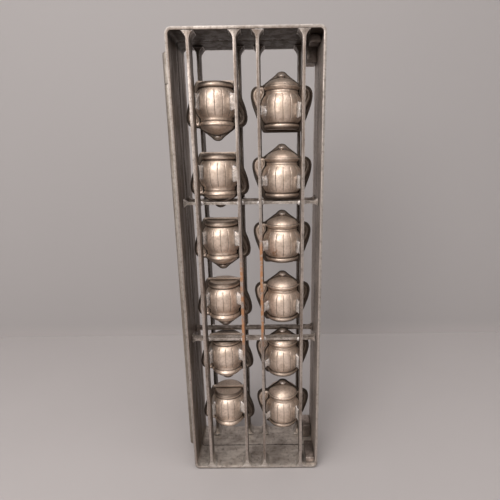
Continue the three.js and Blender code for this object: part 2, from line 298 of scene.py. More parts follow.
# %% [markdown]
# ## Fluted body
# The belly is divided by thin pressed lines, and each panel between two lines swells a little. A line is
# a groove in the sheet itself, so it is shaped in the mesh: the edges that run up the belly at the right
# angles are split into a narrow strip by a bevel, and a Displace modifier pushes the middle of the strip
# in. Dirt and painted shade sit in the grooves, in the creases at the rings and under the foot bead, clean
# tin shows where solder was run on, a painted glint sits on top of the knob, and the chocolate side is
# brighter. Each of these is kept as an attribute, a number a point, for the finish to read.

# %% Marks on the sheet
SEAM, SHEET = 0.15, 1.0
SPIN_STEPS = 80
FLUTE_STEP, ON_FLUTE, IN_FLUTE = 22.5, 0.2, 0.4
FLUTE_DEPTH, FLUTE_WIDTH, PANEL_SWELL = 0.42, 0.9, 0.06
FLUTE_LOW, FLUTE_HIGH = 6.6, 31.9
FADE_IN, FADE_OUT = (6.4, 8.6), (30.4, 31.9)
RINGS_OF_DIRT_AND_SHADE = [(5.3, 1.5), (35.5, 0.8), (39.6, 0.4), (47.9, 0.4)]
GROOVE_DIRT_AND_SHADE, RING_DIRT_AND_SHADE, BASE_DIRT = 0.75, 0.9, 0.4
SOLDER_TURN, SOLDER_HEIGHT = 58, 17.6
KNOB_PAINTED_GLINT = 0.8


def soft_step(value, low, high):
    share = min(max((value - low) / (high - low), 0), 1)
    return share * share * (3 - 2 * share)


def turn_of(place):
    return math.degrees(math.atan2(place.x, -place.y))


def off_flute(place, first_flute):
    return (turn_of(place) - first_flute + FLUTE_STEP / 2) % FLUTE_STEP - FLUTE_STEP / 2


def thicken(piece, sheet, outwards=-1):
    """Give the sheet its thickness, and mark the wall on the chocolate side."""
    fresh_start()
    outside = len(piece.data.vertices)
    finish_with(piece, "SOLIDIFY", thickness=sheet * MM, offset=outwards)
    inside = len(piece.data.vertices) - outside
    keep_marks(piece, "inside", [0.0] * outside + [1.0] * inside)


# Clean tin near the solder, and a painted glint on top of the knob.
def solder_tin_and_knob_glint(place, splash_left):
    turn, height = turn_of(place), place.z / MM
    near = 1 - soft_step(abs(abs(turn) - SOLDER_TURN), 4, 19)
    near *= 1 - soft_step(abs(height - SOLDER_HEIGHT), 4.5, 10)
    return max(near if turn > 0 else near * splash_left, KNOB_PAINTED_GLINT * soft_step(height, 48.5, 49.2))


# Dirt and painted shade: darker in the flute grooves, in the creases at the rings and on the lower foot bead, where
# shade falls; the flat base has plain dirt.
def crease_dirt_and_shade_at(place, in_groove):
    height = place.z / MM
    in_ring = max(1 - soft_step(abs(height - ring), 0, reach) for ring, reach in RINGS_OF_DIRT_AND_SHADE)
    edge = soft_step(math.hypot(place.x, place.y) / MM, 13.5, 15.8)
    dirt_and_shade_under_foot = max(edge * (1 - soft_step(height, 1.5, 3.6)), BASE_DIRT * (1 - soft_step(height, 0.3, 0.6)))
    return max(GROOVE_DIRT_AND_SHADE * in_groove, RING_DIRT_AND_SHADE * in_ring, dirt_and_shade_under_foot)


print("dirty rings at", [ring for ring, _ in RINGS_OF_DIRT_AND_SHADE], "mm")

# %% Fluted body
def fluted_body(name, first_flute, splash_left):
    body = draw_line(name, [(radius * MM, 0, height * MM) for radius, height in side_view])
    spin_line(SPIN_STEPS, math.pi)
    face_towards(FRONT)
    pick(lambda place, edge: FLUTE_LOW < place.z / MM < FLUTE_HIGH
         and max(abs(off_flute(end.co, first_flute)) for end in edge.verts) < ON_FLUTE, "EDGE")
    bpy.ops.mesh.bevel(offset=FLUTE_WIDTH / 2 * MM, segments=2, affect="EDGES")
    fresh_start()
    groove = body.vertex_groups.new(name="groove_weight")
    panel = body.vertex_groups.new(name="panel_weight")
    crease_dirt_and_shade, solder_tin_and_glint = [], []
    for point in body.data.vertices:
        height = point.co.z / MM
        along = soft_step(height, *FADE_IN) * (1 - soft_step(height, *FADE_OUT))
        off = off_flute(point.co, first_flute)
        in_groove = along if abs(off) < IN_FLUTE else 0.0
        solder_tin_and_glint.append(solder_tin_and_knob_glint(point.co, splash_left))
        crease_dirt_and_shade.append(crease_dirt_and_shade_at(point.co, in_groove))
        groove.add([point.index], in_groove, "REPLACE")
        panel.add([point.index], (0.5 - math.cos(off / FLUTE_STEP * 2 * math.pi) / 2) * along, "REPLACE")
    keep_marks(body, "groove_dirt_and_shade", crease_dirt_and_shade)
    keep_marks(body, "solder_tin_and_glint", solder_tin_and_glint)
    finish_with(body, "DISPLACE", strength=PANEL_SWELL * MM, mid_level=0, vertex_group="panel_weight")
    finish_with(body, "DISPLACE", strength=-FLUTE_DEPTH * MM, mid_level=0, vertex_group="groove_weight")
    thicken(body, SHEET)
    edit(body)
    bpy.ops.transform.translate(value=(0, -SEAM * MM, 0))
    fresh_start()
    return body


upright_shell = fluted_body("upright_shell", first_flute=2.25, splash_left=0.5)
hanging_shell = fluted_body("hanging_shell", first_flute=-2.25, splash_left=1.0)
print("fluted body:", faces(upright_shell), "faces")

# %% [markdown]
# ## Flange
# Where two half shells meet, each has a flat flange cut along the outline of the pot and its ears. Two
# closed lines with the same number of points, one outside and one inside, are bridged and given the
# thickness of the sheet. The outline is drawn for one side and mirrored in the numbers.

# %% Outlines of flange and ears
FLANGE, FLANGE_MARGIN = 1.2, 2.3
outer_base = [(x, -FLANGE_MARGIN) for x in (0, 8, 16.6)]
outer_tail = [(16.6, -FLANGE_MARGIN), (18.2, -1.9), (19.2, -0.7), (20.2, 1.6), (22.2, 6.3), (24.4, 11.2),
              (25.8, 15.2)]
outer_ear = [(25.8, 15.2), (27.2, 18.9), (28.4, 22.6), (29.4, 27.0), (29.95, 31.0), (29.7, 34.5), (28.4, 37.6),
             (26.0, 39.8), (23.0, 40.8), (20.0, 40.95)]
outer_lid = [(20.0, 40.95), (18.2, 41.1), (16.3, 42.5), (12.8, 45.0), (10.2, 46.9), (8.0, 48.5), (6.0, 50.1),
             (4.4, 51.7), (2.5, 52.95), (0, 53.3)]
inner_base = [(x, 0.6) for x in (0, 7.5, 14.6)]
inner_tail = [(14.6, 0.6), (16.0, 1.3), (16.3, 2.6), (15.3, 4.9), (16.0, 7.5), (17.9, 12.0), (18.8, 15.2)]
inner_ear = [(18.8, 15.2), (20.6, 16.2), (22.4, 18.0), (24.2, 21.0), (25.9, 24.3), (26.9, 27.4), (27.4, 30.5),
             (27.3, 33.4), (26.3, 36.0), (24.3, 37.9), (21.4, 38.9), (18.6, 39.1), (16.3, 38.6)]
inner_lid = [(16.3, 38.6), (15.4, 40.0), (13.2, 41.4), (10.8, 43.0), (8.4, 44.6), (5.6, 46.3), (3.2, 47.4),
             (2.7, 49.0), (1.8, 50.2), (0, 50.5)]
SECTION_POINTS = (6, 12, 24, 16)


def whole_loop(sections):
    half = []
    for knots, count in zip(sections, SECTION_POINTS):
        half += smooth_line(knots, count)[:-1]
    half.append(Vector(sections[-1][-1]))
    return half + [Vector((-x, z)) for x, z in half[-2:0:-1]]


def standing(points, depth):
    return [(x * MM, -depth * MM, z * MM) for x, z in points]


outer_loop = whole_loop([outer_base, outer_tail, outer_ear, outer_lid])
inner_loop = whole_loop([inner_base, inner_tail, inner_ear, inner_lid])
print("flange loops:", len(outer_loop), "and", len(inner_loop), "points")

# %% Flange
def flange_plate():
    plate = draw_line("flange", standing(outer_loop, SEAM + FLANGE), closed=True)
    hole = draw_line("flange_hole", standing(inner_loop, SEAM + FLANGE), closed=True)
    take(plate, hole)
    bpy.ops.object.join()
    edit(plate)
    bpy.ops.mesh.select_mode(type="EDGE")
    bpy.ops.mesh.bridge_edge_loops()
    face_towards(FRONT)
    finish_with(plate, "SOLIDIFY", thickness=FLANGE * MM, offset=-1)
    round_edges(plate, 0.22)
    return plate


flange = flange_plate()
print("flange:", faces(flange), "faces")

# %% [markdown]
# ## Ears
# Each ear is a scroll handle in relief: a rounded bead that runs down into a tail, a groove, an inner
# bead and a small dark pit. Its outline is filled with one face, and that face is pulled forward and
# drawn in about the eye of the scroll, step by step. The face left at the back is deleted before the
# sheet gets its thickness, so the ear is hollow on the parting side, where the chocolate goes.

# %% Ears
EAR_EYE = (22.1, 33.4)
EAR_STEPS = [(1.0, 1.45), (0.95, 2.4), (0.88, 3.0), (0.80, 3.2), (0.70, 3.0), (0.62, 2.45), (0.56, 2.2),
             (0.50, 2.45), (0.44, 2.95), (0.38, 3.1), (0.31, 2.8), (0.24, 1.9), (0.17, 1.35)]
EAR_SHEET, EAR_BACK = 0.8, SEAM + FLANGE / 2
ROOT_HEIGHTS, ROOT_DEPTH = (35.0, 31.0, 27.0, 23.0, 19.0), 0.5


def ear_relief(side):
    outline = smooth_line(inner_ear, 34)
    outline += smooth_line([(belly_radius(z) - ROOT_DEPTH, z) for z in ROOT_HEIGHTS], 10)
    outline = [(side * x, z) for x, z in outline]
    ear = draw_line("ear", standing(outline, EAR_BACK), closed=True)
    bpy.ops.mesh.edge_face_add()
    eye = Vector((side * EAR_EYE[0] * MM, 0, EAR_EYE[1] * MM))
    last_size, last_depth = 1.0, EAR_BACK
    for size, depth in EAR_STEPS:
        pull((0, (last_depth - depth) * MM, 0))
        shrink = size / last_size
        bpy.ops.transform.resize(value=(shrink, 1, shrink), center_override=eye)
        last_size, last_depth = size, depth
    pick(lambda place, part: abs(place.y + EAR_BACK * MM) < TINY, "FACE")
    bpy.ops.mesh.delete(type="ONLY_FACE")
    point_outwards()
    face_towards(FRONT)
    thicken(ear, EAR_SHEET, outwards=1)
    return ear


ears = [ear_relief(side) for side in (-1, 1)]
print("ears:", [faces(ear) for ear in ears], "faces")

# %% Join flange and ears to both bodies
def copy_of(piece, name):
    take(piece)
    bpy.ops.object.duplicate(linked=False)
    twin = bpy.context.object
    twin.name = twin.data.name = name
    return twin


def darken_flange_dirt_and_shade(plate, base):
    """Dirt and painted shade: dark along the outline, a paler band on the lid painted as lit, and painted shade at
    the base as dark as told.
    """
    rim = standing(outer_loop, SEAM + FLANGE)
    marks = []
    for point in plate.data.vertices:
        off = min((point.co.x - x) ** 2 + (point.co.z - z) ** 2 for x, _, z in rim) ** 0.5
        paler_share = 0.15 + 0.3 * soft_step(point.co.z / MM, 39, 42)
        mark = 1 - paler_share * soft_step(off / MM, 0.6, 1.8)
        marks.append(base + (mark - base) * soft_step(point.co.z / MM, -2.25, -1.3))
    keep_marks(plate, "flange", marks)
    return plate


def darken_ear_dirt_and_shade(ear, bead):
    """Dirt and painted shade in the grooves, the pit and the crease by the belly; the beads as light as told, painted
    lit on one side and shaded on the other.
    """
    marks = []
    for x, y, z in (point.co / MM for point in ear.data.vertices):
        clear = soft_step(abs(x) - belly_radius(z), 0.6, 2.6) * soft_step(-y, 2.3, 3.1)
        marks.append(PIT_DIRT_AND_SHADE + (bead - PIT_DIRT_AND_SHADE) * clear)
    keep_marks(ear, "flange", marks)
    return ear


LIT_BEAD, SHADED_BEAD, PIT_DIRT_AND_SHADE = 0.12, 0.86, 0.97
# The ear beads are painted lit on one side and shaded on the other. The flange base is painted dark under an upright
# foot and light where a hanging base faces up.
for shell, beads, base in ((upright_shell, (LIT_BEAD, SHADED_BEAD), 1.0),
                           (hanging_shell, (SHADED_BEAD, LIT_BEAD), 0.25)):
    additions = [darken_flange_dirt_and_shade(copy_of(flange, f"{shell.name}_flange"), base)]
    for ear, bead in zip(ears, beads):
        additions.append(darken_ear_dirt_and_shade(copy_of(ear, f"{shell.name}_ear"), bead))
    take(shell, *additions)
    bpy.ops.object.join()
    shell.vertex_groups.clear()
    smooth(math.radians(48))
for piece in (flange, *ears):
    bpy.data.objects.remove(piece)
print("one half shell:", faces(upright_shell), "faces")

# %% Set the half shells in their places
POT_TURNS = {("front", "right"): (0, 0, 0), ("front", "left"): (0, math.pi, 0),
             ("rear", "right"): (0, 0, math.pi), ("rear", "left"): (math.pi, 0, 0)}
shells, pot_feet = {}, {}
for (half, column), turn in POT_TURNS.items():
    for row in range(1, 7):
        node = f"{half}_shell_{column}_{row}"
        low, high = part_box(node)
        foot = low.z + FLANGE_MARGIN * MM if column == "right" else high.z - FLANGE_MARGIN * MM
        shell = copy_of(upright_shell if column == "right" else hanging_shell, f"{node}_tin")
        shell.rotation_euler = turn
        pot_feet[node] = shell.location = Vector(((low.x + high.x) / 2, 0, foot))
        fix_place()
        shells[node] = shell
for shell in (upright_shell, hanging_shell):
    bpy.data.objects.remove(shell)
print(len(shells), "half shells set")

# %% [markdown]
# ## Frames
# A frame is one flat strip on edge, bent round into a rectangle. A plane of the rectangle's size gets
# its four corners rounded, loses its face, and its edge is pulled back to the depth of the strip. It is
# cut into short lengths, so that a soft noise can make the edges uneven, as on a worn and hammered
# strip. The wall that faces the pots is marked, because it gets a colour of its own and the painted shade
# deep in the mould, which the outer wall does not.

# %% Uneven metal
def clouds(name, grain):
    texture = bpy.data.textures.new(name, type="CLOUDS")
    texture.noise_scale = grain * MM
    texture.noise_depth = 2
    return texture


worn_noise = clouds("worn_strip", 14)
lump_noise = clouds("lumpy_braze", 3.2)
solder_noise = clouds("flowed_solder", 3.6)


def make_uneven(piece, texture, height, level=0.5):
    finish_with(piece, "DISPLACE", texture=texture, texture_coords="LOCAL", direction="NORMAL",
                strength=height * MM, mid_level=level)


print("noises:", [texture.name for texture in bpy.data.textures])

# %% Frames
STRIP, BEND = 3.0, 6.0
TALL_CUTS, WIDE_CUTS, DEEP_CUTS = 70, 20, 5


def mark_inner(strip, low, high):
    """1 on the wall that faces the pots, 0 on the outer wall."""
    middle, reach, bend = (low + high) / 2, (high - low) / 2, BEND * MM
    marks = []
    for point in strip.data.vertices:
        across = reach.x - abs(point.co.x - middle.x)
        along = reach.z - abs(point.co.z - middle.z)
        deep = min(across, along)
        if max(across, along) < bend:
            deep = bend - math.hypot(bend - across, bend - along)
        marks.append(soft_step(deep / MM, 0.8, 2.4))
    keep_marks(strip, "inner", marks)


def frame_strip(half):
    low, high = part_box(f"{half}_frame")
    fresh_start()
    middle = Vector(((low.x + high.x) / 2, low.y, (low.z + high.z) / 2))
    bpy.ops.mesh.primitive_plane_add(size=1, location=middle, rotation=(math.pi / 2, 0, 0))
    strip = bpy.context.object
    strip.name = f"{half}_frame_strip"
    fix_place()
    edit(strip)
    bpy.ops.transform.resize(value=(high.x - low.x, 1, high.z - low.z), center_override=middle)
    bpy.ops.mesh.bevel(offset=BEND * MM, segments=6, affect="VERTICES")
    pick_all()
    bpy.ops.mesh.delete(type="ONLY_FACE")
    pick_all()
    pull((0, high.y - low.y, 0))
    for shortest, longest, cuts in ((0.3, 1, TALL_CUTS), (0.05, 0.3, WIDE_CUTS), (0.02, 1, DEEP_CUTS)):
        pick(lambda place, part: shortest < part.calc_length() < longest, "EDGE")
        bpy.ops.mesh.subdivide(number_cuts=cuts)
    point_outwards()
    finish_with(strip, "SOLIDIFY", thickness=STRIP * MM, offset=-1)
    round_edges(strip, 0.5)
    smooth()
    mark_inner(strip, low, high)
    return strip


frames = {half: frame_strip(half) for half in ("front", "rear")}

# %% [markdown]
# ## Bars
# Four flat bars on edge run from plate to plate, and two shorter ones cross behind them. Each end
# spreads into a brazed foot. A cube of the bar's size is cut across near its ends, the cuts are spread
# sideways to a hollow curve, and the edges are rounded.

# %% A bar with spread ends
FOOT_CUTS = (0.05, 0.14, 0.28, 0.48, 0.72, 1.0)
CUT_EVERY, FEWEST_CUTS = 7, 8


def spread_bar(node, along, across, foot_reach, foot_length):
    low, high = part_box(node)
    middle = (low + high) / 2
    size = high - low
    size[across] = STRIP * MM
    bar = block(f"{node}_strip", middle, size)
    edit(bar)
    pick(lambda place, part: part.calc_length() > 0.9 * size[along], "EDGE")
    bpy.ops.mesh.subdivide(number_cuts=max(int(size[along] / (CUT_EVERY * MM)), FEWEST_CUTS))
    direction = Vector((0, 0, 0))
    direction[along] = 1
    ends = ((low[along], 1), (high[along], -1))
    for share in FOOT_CUTS:
        for end, sign in ends:
            cut = middle.copy()
            cut[along] = end + sign * share * foot_length * MM
            pick_all()
            bpy.ops.mesh.bisect(plane_co=cut, plane_no=direction)
    for share in (0.0, *FOOT_CUTS):
        spread = Vector((1, 1, 1))
        spread[across] += 2 * foot_reach / STRIP * (1 - share) ** 2
        for end, sign in ends:
            level = end + sign * share * foot_length * MM
            pick(lambda place, part: abs(place[along] - level) < TINY)
            bpy.ops.transform.resize(value=spread, center_override=middle)
    round_edges(bar, 0.45)
    smooth()
    return bar


print("a foot has", len(FOOT_CUTS), "cuts")

# %% Long bars and cross bars
X_AXIS, Z_AXIS = 0, 2
LONG_FOOT, CROSS_FOOT = (4.4, 7.0), (3.0, 5.0)
bars = {}
for half in ("front", "rear"):
    for number in range(1, 5):
        node = f"{half}_long_bar_{number}"
        bars[node] = spread_bar(node, Z_AXIS, X_AXIS, *LONG_FOOT)
    for level in ("lower", "upper"):
        node = f"{half}_cross_bar_{level}"
        bars[node] = spread_bar(node, X_AXIS, Z_AXIS, *CROSS_FOOT)
print(len(bars), "bars, each about", faces(bars["front_long_bar_1"]), "faces")

# %% [markdown]
# ## Corner lugs and blocks
# In the corners away from the hinge sit small steel lugs, and behind them taller blocks, all brazed in
# by hand. They are cubes with one corner cut off where the strip bends, rounded and left lumpy.

# %% Lugs and blocks
CORNER_CUT = 3.8


def corner_piece(node):
    low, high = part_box(node)
    lug = block(f"{node}_steel", (low + high) / 2, high - low)
    corner_z = high.z if "top" in node else low.z
    edit(lug)
    pick(lambda place, part: abs(place.x - high.x) < 1e-5 and abs(place.z - corner_z) < 1e-5, "EDGE")
    bpy.ops.mesh.bevel(offset=CORNER_CUT * MM, segments=3, affect="EDGES")
    pick_all()
    bpy.ops.mesh.bisect(plane_co=(low + high) / 2, plane_no=(0, 1, 0))
    round_edges(lug, 0.8, segments=3)
    finish_with(lug, "SUBSURF", subdivision_type="SIMPLE", levels=2, render_levels=2)
    smooth()
    return lug


lugs = {node: corner_piece(node) for node in ("front_corner_lug_top", "front_corner_lug_bottom",
                                              "rear_corner_block_top", "rear_corner_block_bottom")}
print(len(lugs), "corner pieces")

# %% [markdown]
# ## Hinge
# Up the left side runs a long barrel hinge: a short tube at each end on the front half, one long tube
# on the rear half, and a rod through all three with its ends hammered into heads. A tube is a cylinder
# without ends that gets a wall, and its leaf is a flat plate against the frame.

# %% Knuckles
PIN_X, LEAF_X = -70.5, -65.5
BARREL_RADIUS, BARREL_WALL = 5.0, 1.7
LEAF_THICKNESS, LEAF_START = 2.0, 0.5
TUBE_CUT_EVERY, FEWEST_TUBE_CUTS = 9, 3


def knuckle(node):
    low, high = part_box(node)
    length, middle = high.z - low.z, (low.z + high.z) / 2
    fresh_start()
    bpy.ops.mesh.primitive_cylinder_add(vertices=40, radius=BARREL_RADIUS * MM, depth=length,
                                        end_fill_type="NOTHING", location=(PIN_X * MM, 0, middle))
    tube = bpy.context.object
    tube.name = f"{node}_tube"
    fix_place()
    edit(tube)
    pick(lambda place, part: part.calc_length() > 0.9 * length, "EDGE")
    bpy.ops.mesh.subdivide(number_cuts=max(int(length / (TUBE_CUT_EVERY * MM)), FEWEST_TUBE_CUTS))
    finish_with(tube, "SOLIDIFY", thickness=BARREL_WALL * MM, offset=-1)
    round_edges(tube, 0.4)
    side = -1 if abs(low.y) > abs(high.y) else 1
    reach, start = max(abs(low.y), abs(high.y)), LEAF_START * MM
    leaf = block("leaf", (LEAF_X * MM, side * (reach + start) / 2, middle),
                 (LEAF_THICKNESS * MM, reach - start, length))
    round_edges(leaf, 0.4)
    take(tube, leaf)
    bpy.ops.object.join()
    smooth()
    return tube


knuckles = {node: knuckle(node) for node in ("hinge_knuckle_top", "hinge_knuckle_middle", "hinge_knuckle_bottom")}
print(len(knuckles), "knuckles")

# %% Pin
PIN_HEAD = [(0, 0), (1.6, 0.1), (2.9, 0.45), (3.8, 1.0), (4.2, 1.5), (4.1, 1.75), (3.0, 1.8)]


def pin_rod():
    low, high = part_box("hinge_pin")
    profile = [(radius, low.z / MM + height) for radius, height in PIN_HEAD]
    profile += [(radius, high.z / MM - height) for radius, height in reversed(PIN_HEAD)]
    rod = draw_line("hinge_pin_rod", [((PIN_X + radius) * MM, 0, height * MM) for radius, height in profile])
    spin_line(32, 2 * math.pi, PIN_X * MM)
    take(rod)
    smooth()
    return rod


pin = pin_rod()
print("pin:", faces(pin), "faces")

# %% [markdown]
# ## Solder and braze
# The shells are held between the bars by webs of solder run in by hand, and the bars are brazed where
# they cross and where they stand on the plates. A web is a ring pulled in steps from belly to bar, and a
# lump of braze is a squashed ball. Noise that reads their place makes them rough, so no two are alike.

# %% Lumps
def lump(place, size, height, fine):
    fresh_start()
    bpy.ops.mesh.primitive_ico_sphere_add(subdivisions=fine, radius=1, location=place)
    ball = bpy.context.object
    ball.scale = [part * MM for part in size]
    fix_place()
    make_uneven(ball, lump_noise, height)
    return ball


def join_lumps(name, lumps):
    take(*lumps)
    bpy.ops.object.join()
    bpy.context.object.name = bpy.context.object.data.name = name
    smooth(math.radians(60))
    return bpy.context.object


print("lumps are made uneven by", lump_noise.name)

# %% Solder web
WEB_STATIONS = [(0.0, 8.8, 2.3), (0.2, 7.6, 1.6), (0.42, 6.9, 1.3), (0.64, 6.8, 1.3), (0.84, 7.2, 1.6),
                (1.0, 7.8, 2.1)]


def solder_web(start, end, tallness, roughness):
    """A strip of solder drawn from the belly to a bar: high at both ends and hollow between."""
    along = end - start
    turn = math.atan2(along.x, -along.y)
    fresh_start()
    bpy.ops.mesh.primitive_circle_add(vertices=24, radius=MM, location=start, rotation=(math.pi / 2, 0, turn))
    web = bpy.context.object
    _, last_tall, last_thick = WEB_STATIONS[0]
    web.scale = (last_thick, last_tall * tallness, 1)
    fix_place()
    edit(web)
    last_share = 0.0
    for share, tall, thick in WEB_STATIONS[1:]:
        pull(along * (share - last_share))
        wide = thick / last_thick
        bpy.ops.transform.resize(value=(wide, wide, tall / last_tall), center_override=start + along * share)
        last_share, last_tall, last_thick = share, tall, thick
    pick_all()
    bpy.ops.mesh.fill_holes(sides=0)
    point_outwards()
    finish_with(web, "SUBSURF", levels=2, render_levels=2)
    make_uneven(web, solder_noise, roughness)
    return web


print("a web has", len(WEB_STATIONS), "stations")

# %% Solder between shells and bars
BELLY_OFF, BELLY_OUT, BAR_OUT, BAR_LAP = 14.8, 12.0, 18.6, 0.9
LOW_WEB, TALL_WEB = 0.66, 0.98
SMOOTH_WEB, ROUGH_WEB = 1.1, 1.4
solders = {}
for half, side in (("front", -1), ("rear", 1)):
    webs = []
    for column, up, numbers in (("left", -1, (1, 2)), ("right", 1, (3, 4))):
        for row in range(1, 7):
            foot = pot_feet[f"{half}_shell_{column}_{row}"]
            for hand, number in zip((-1, 1), numbers):
                low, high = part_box(f"{half}_long_bar_{number}")
                wobble = math.sin(7.3 * row + 2.1 * hand + 1.3 * up + side)
                height = foot.z + up * (SOLDER_HEIGHT + 1.2 * wobble) * MM
                start = Vector((foot.x + hand * BELLY_OFF * MM, side * BELLY_OUT * MM, height))
                end = Vector(((low.x + high.x) / 2 - hand * BAR_LAP * MM, side * BAR_OUT * MM, height))
                tallness = (LOW_WEB if (column, hand) == ("right", -1) else TALL_WEB) + 0.1 * wobble
                webs.append(solder_web(start, end, tallness, SMOOTH_WEB if hand > 0 else ROUGH_WEB))
    solders[half] = join_lumps(f"{half}_solder", webs)
print("solder:", [faces(piece) for piece in solders.values()], "faces")

# %% Braze at the crossings and the feet of the bars
CROSSING_LUMP, CROSSING_OFF = (1.9, 1.5, 2.3), 2.0
FOOT_LUMP, FOOT_OUT, LUMP_OFF = (4.8, 3.6, 1.1), 27.5, 0.6
brazes = {}
for half, side in (("front", -1), ("rear", 1)):
    lumps = []
    for number in range(1, 5):
        low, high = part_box(f"{half}_long_bar_{number}")
        middle = (low.x + high.x) / 2
        inner = min(abs(low.y), abs(high.y)) * side
        for level in ("lower", "upper"):
            cross_low, cross_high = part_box(f"{half}_cross_bar_{level}")
            height = (cross_low.z + cross_high.z) / 2
            for hand in (-1, 1):
                place = (middle + hand * CROSSING_OFF * MM, inner - side * LUMP_OFF * MM, height + 0.4 * hand * MM)
                lumps.append(lump(place, CROSSING_LUMP, 1.1, fine=3))
        for height, lift in ((low.z, 1), (high.z, -1)):
            place = (middle, side * FOOT_OUT * MM, height + lift * LUMP_OFF * MM)
            lumps.append(lump(place, FOOT_LUMP, 1.0, fine=4))
    brazes[half] = join_lumps(f"{half}_braze", lumps)
print("braze lumps:", [faces(piece) for piece in brazes.values()], "faces")

# %% Make the strips uneven
WEAR = 0.35
for piece in [*frames.values(), *bars.values(), *lugs.values()]:
    make_uneven(piece, worn_noise, WEAR, level=1)
print("strips worn by up to", WEAR, "mm")

# %% [markdown]
# ## Finishes: shared effects
# All the metals here are old, so they share soft patches of colour, dirt and painted shade in the corners
# and bright worn edges. Each effect is a node group that puts out one mask, and each material places it
# with its own values. Patches read Object coordinates, so they stay on the piece when it moves.

# %% Node helpers
def put(tree, socket, value):
    if isinstance(value, bpy.types.NodeSocket):
        tree.links.new(value, socket)
    else:
        socket.default_value = value


def add(tree, kind, inputs=(), **settings):
    """A new node with its settings and inputs, given back as its outputs."""
    node = tree.nodes.new(kind)
    for name, value in settings.items():
        setattr(node, name, value)
    for key, value in dict(inputs).items():
        put(tree, node.inputs[key], value)
    return node.outputs


def mix_colour(tree, mask, under, over):
    under, over = [(*value, 1) if isinstance(value, tuple) else value for value in (under, over)]
    return add(tree, "ShaderNodeMix", {0: mask, 6: under, 7: over}, data_type="RGBA")[2]


def calc(tree, operation, first, second):
    return add(tree, "ShaderNodeMath", {0: first, 1: second}, operation=operation, use_clamp=True)[0]


def times(tree, first, second):
    return calc(tree, "MULTIPLY", first, second)


def lay(tree, colour, over, mask, amount):
    return mix_colour(tree, times(tree, mask, amount), colour, over)


def spread_out(tree, value, low, high, start=0.0, end=1.0):
    parts = enumerate((value, low, high, start, end))
    return add(tree, "ShaderNodeMapRange", parts, interpolation_type="SMOOTHSTEP")[0]


print("node helpers ready")

# %% Groups with one mask
def new_group(name, inputs):
    group = bpy.data.node_groups.new(name, "ShaderNodeTree")
    for socket_name, value in inputs.items():
        kind = "NodeSocketVector" if isinstance(value, tuple) else "NodeSocketFloat"
        group.interface.new_socket(socket_name, in_out="INPUT", socket_type=kind).default_value = value
    group.interface.new_socket("Mask", in_out="OUTPUT", socket_type="NodeSocketFloat")
    return group, group.nodes.new("NodeGroupInput").outputs, group.nodes.new("NodeGroupOutput").inputs


def place_group(tree, group, **values):
    return add(tree, "ShaderNodeGroup", values, node_tree=group)["Mask"]


print("group helpers ready")

# %% Effect: patches
patches, given, result = new_group("patches", {"Stretch": (1.0, 1.0, 1.0), "Grain": 100.0, "Low": 0.4,
                                               "High": 0.6, "Rough": 0.55})
coordinates = add(patches, "ShaderNodeTexCoord")["Object"]
stretched = add(patches, "ShaderNodeVectorMath", {0: coordinates, 1: given["Stretch"]}, operation="MULTIPLY")[0]
noise = add(patches, "ShaderNodeTexNoise", {"Vector": stretched, "Scale": given["Grain"], "Detail": 5,
                                            "Roughness": given["Rough"]})["Fac"]
put(patches, result["Mask"], spread_out(patches, noise, given["Low"], given["High"]))
print("patches ready")

# %% Effect: corner dirt and painted shade
corner_dirt_and_shade, given, result = new_group("corner_dirt_and_shade", {"Reach": 0.006, "Low": 0.2, "High": 0.75})
# Ambient occlusion finds corners and creases, and the mask paints shade there along with the dirt that gathers in
# them.
corner = add(corner_dirt_and_shade, "ShaderNodeAmbientOcclusion", {"Distance": given["Reach"]}, samples=6)["AO"]
closed = calc(corner_dirt_and_shade, "SUBTRACT", 1.0, corner)
put(corner_dirt_and_shade, result["Mask"], spread_out(corner_dirt_and_shade, closed, given["Low"], given["High"]))
print("grime ready")

# %% Effect: worn edges
worn_edges, given, result = new_group("worn_edges", {"Width": 0.0008, "Low": 0.02, "High": 0.15})
rounded = add(worn_edges, "ShaderNodeBevel", {"Radius": given["Width"]}, samples=4)["Normal"]
surface = add(worn_edges, "ShaderNodeNewGeometry")["Normal"]
turned = add(worn_edges, "ShaderNodeVectorMath", {0: rounded, 1: surface}, operation="DOT_PRODUCT")["Value"]
edge = calc(worn_edges, "SUBTRACT", 1.0, turned)
put(worn_edges, result["Mask"], spread_out(worn_edges, edge, given["Low"], given["High"]))
print("worn edges ready")

# %% Places on a piece
def place_of(tree):
    return add(tree, "ShaderNodeSeparateXYZ", {0: add(tree, "ShaderNodeTexCoord")["Object"]})


def deep_inside(tree, outer, inner):
    """1 near the parting plane, 0 at the outer edge."""
    depth = add(tree, "ShaderNodeMath", {0: place_of(tree)["Y"]}, operation="ABSOLUTE")[0]
    return spread_out(tree, depth, inner * MM, outer * MM, 1.0, 0.0)


def between(tree, axis, low, high, soft):
    place = place_of(tree)[axis]
    start = spread_out(tree, place, (low - soft) * MM, (low + soft) * MM)
    end = spread_out(tree, place, (high - soft) * MM, (high + soft) * MM, 1.0, 0.0)
    return times(tree, start, end)


def mark_of(tree, name):
    return add(tree, "ShaderNodeAttribute", attribute_name=name)["Fac"]


def patchy(tree, grain, low, high, **more):
    return place_group(tree, patches, Grain=grain, Low=low, High=high, **more)


print("shared effects:", [group.name for group in bpy.data.node_groups])

# %% [markdown]
# ## Tinned shells
# The shells are thin sheet, tinned so that chocolate lets go of it. After long use the tin is warm and
# mottled. The grooves and corners are brown with dirt and painted shade, and the flange is nearly black
# with dirt and painted shade. Round the solder it is still clean, a painted glint sits on top of the knob,
# inside it is bright, and two shells have rust specks. It stays a metal all over: the gloss comes from
# the lights, and the dark in the grooves, corners and flange is painted into the colour.

